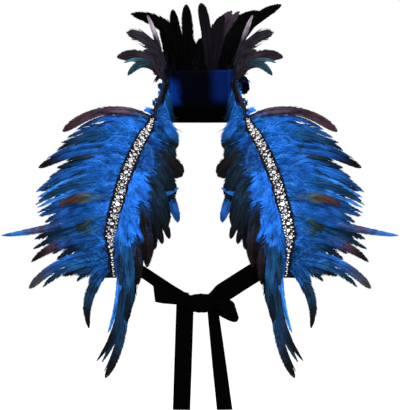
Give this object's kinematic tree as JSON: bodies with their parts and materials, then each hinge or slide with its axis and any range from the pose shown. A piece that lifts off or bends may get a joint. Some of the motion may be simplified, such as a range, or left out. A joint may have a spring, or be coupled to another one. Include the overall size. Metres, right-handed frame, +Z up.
{
  "type": "feather cape",
  "caption": "Feather cape with a standing satin collar and neck plumes, a feather wing down each side of the chest with a crystal trim, and ribbon ties knotted in a bow.",
  "frame": {"origin": "middle of the neck at the foot of the collar", "axes": "+Z up along the neck, -Y to the front of the wearer, +X to the right as seen from the front"},
  "size_m": [0.614, 0.2163, 0.6305],
  "materials": {
    "black_satin": "satin",
    "navy_satin": "satin",
    "blue_feather": "soft down with glossy dark tips",
    "black_feather": "glossy vane",
    "dusky_feather": "glossy vane",
    "crystal_trim": "cut clear stones on black braid"
  },
  "bodies": {
    "root": {"neckband": "black_satin", "collar": "navy_satin", "back_plumes": "black_feather", "side_plumes_left": "dusky_feather", "side_plumes_right": "dusky_feather", "outer_feathers_left": "blue_feather", "outer_feathers_right": "blue_feather", "inner_feathers_left": "blue_feather", "inner_feathers_right": "blue_feather", "crystal_trim_left": "crystal_trim", "crystal_trim_right": "crystal_trim", "tie_left": "black_satin", "tie_right": "black_satin", "bow_knot": "black_satin", "bow_loop_left": "black_satin", "bow_loop_right": "black_satin", "bow_tail_left": "black_satin", "bow_tail_right": "black_satin"}
  },
  "joints": []
}
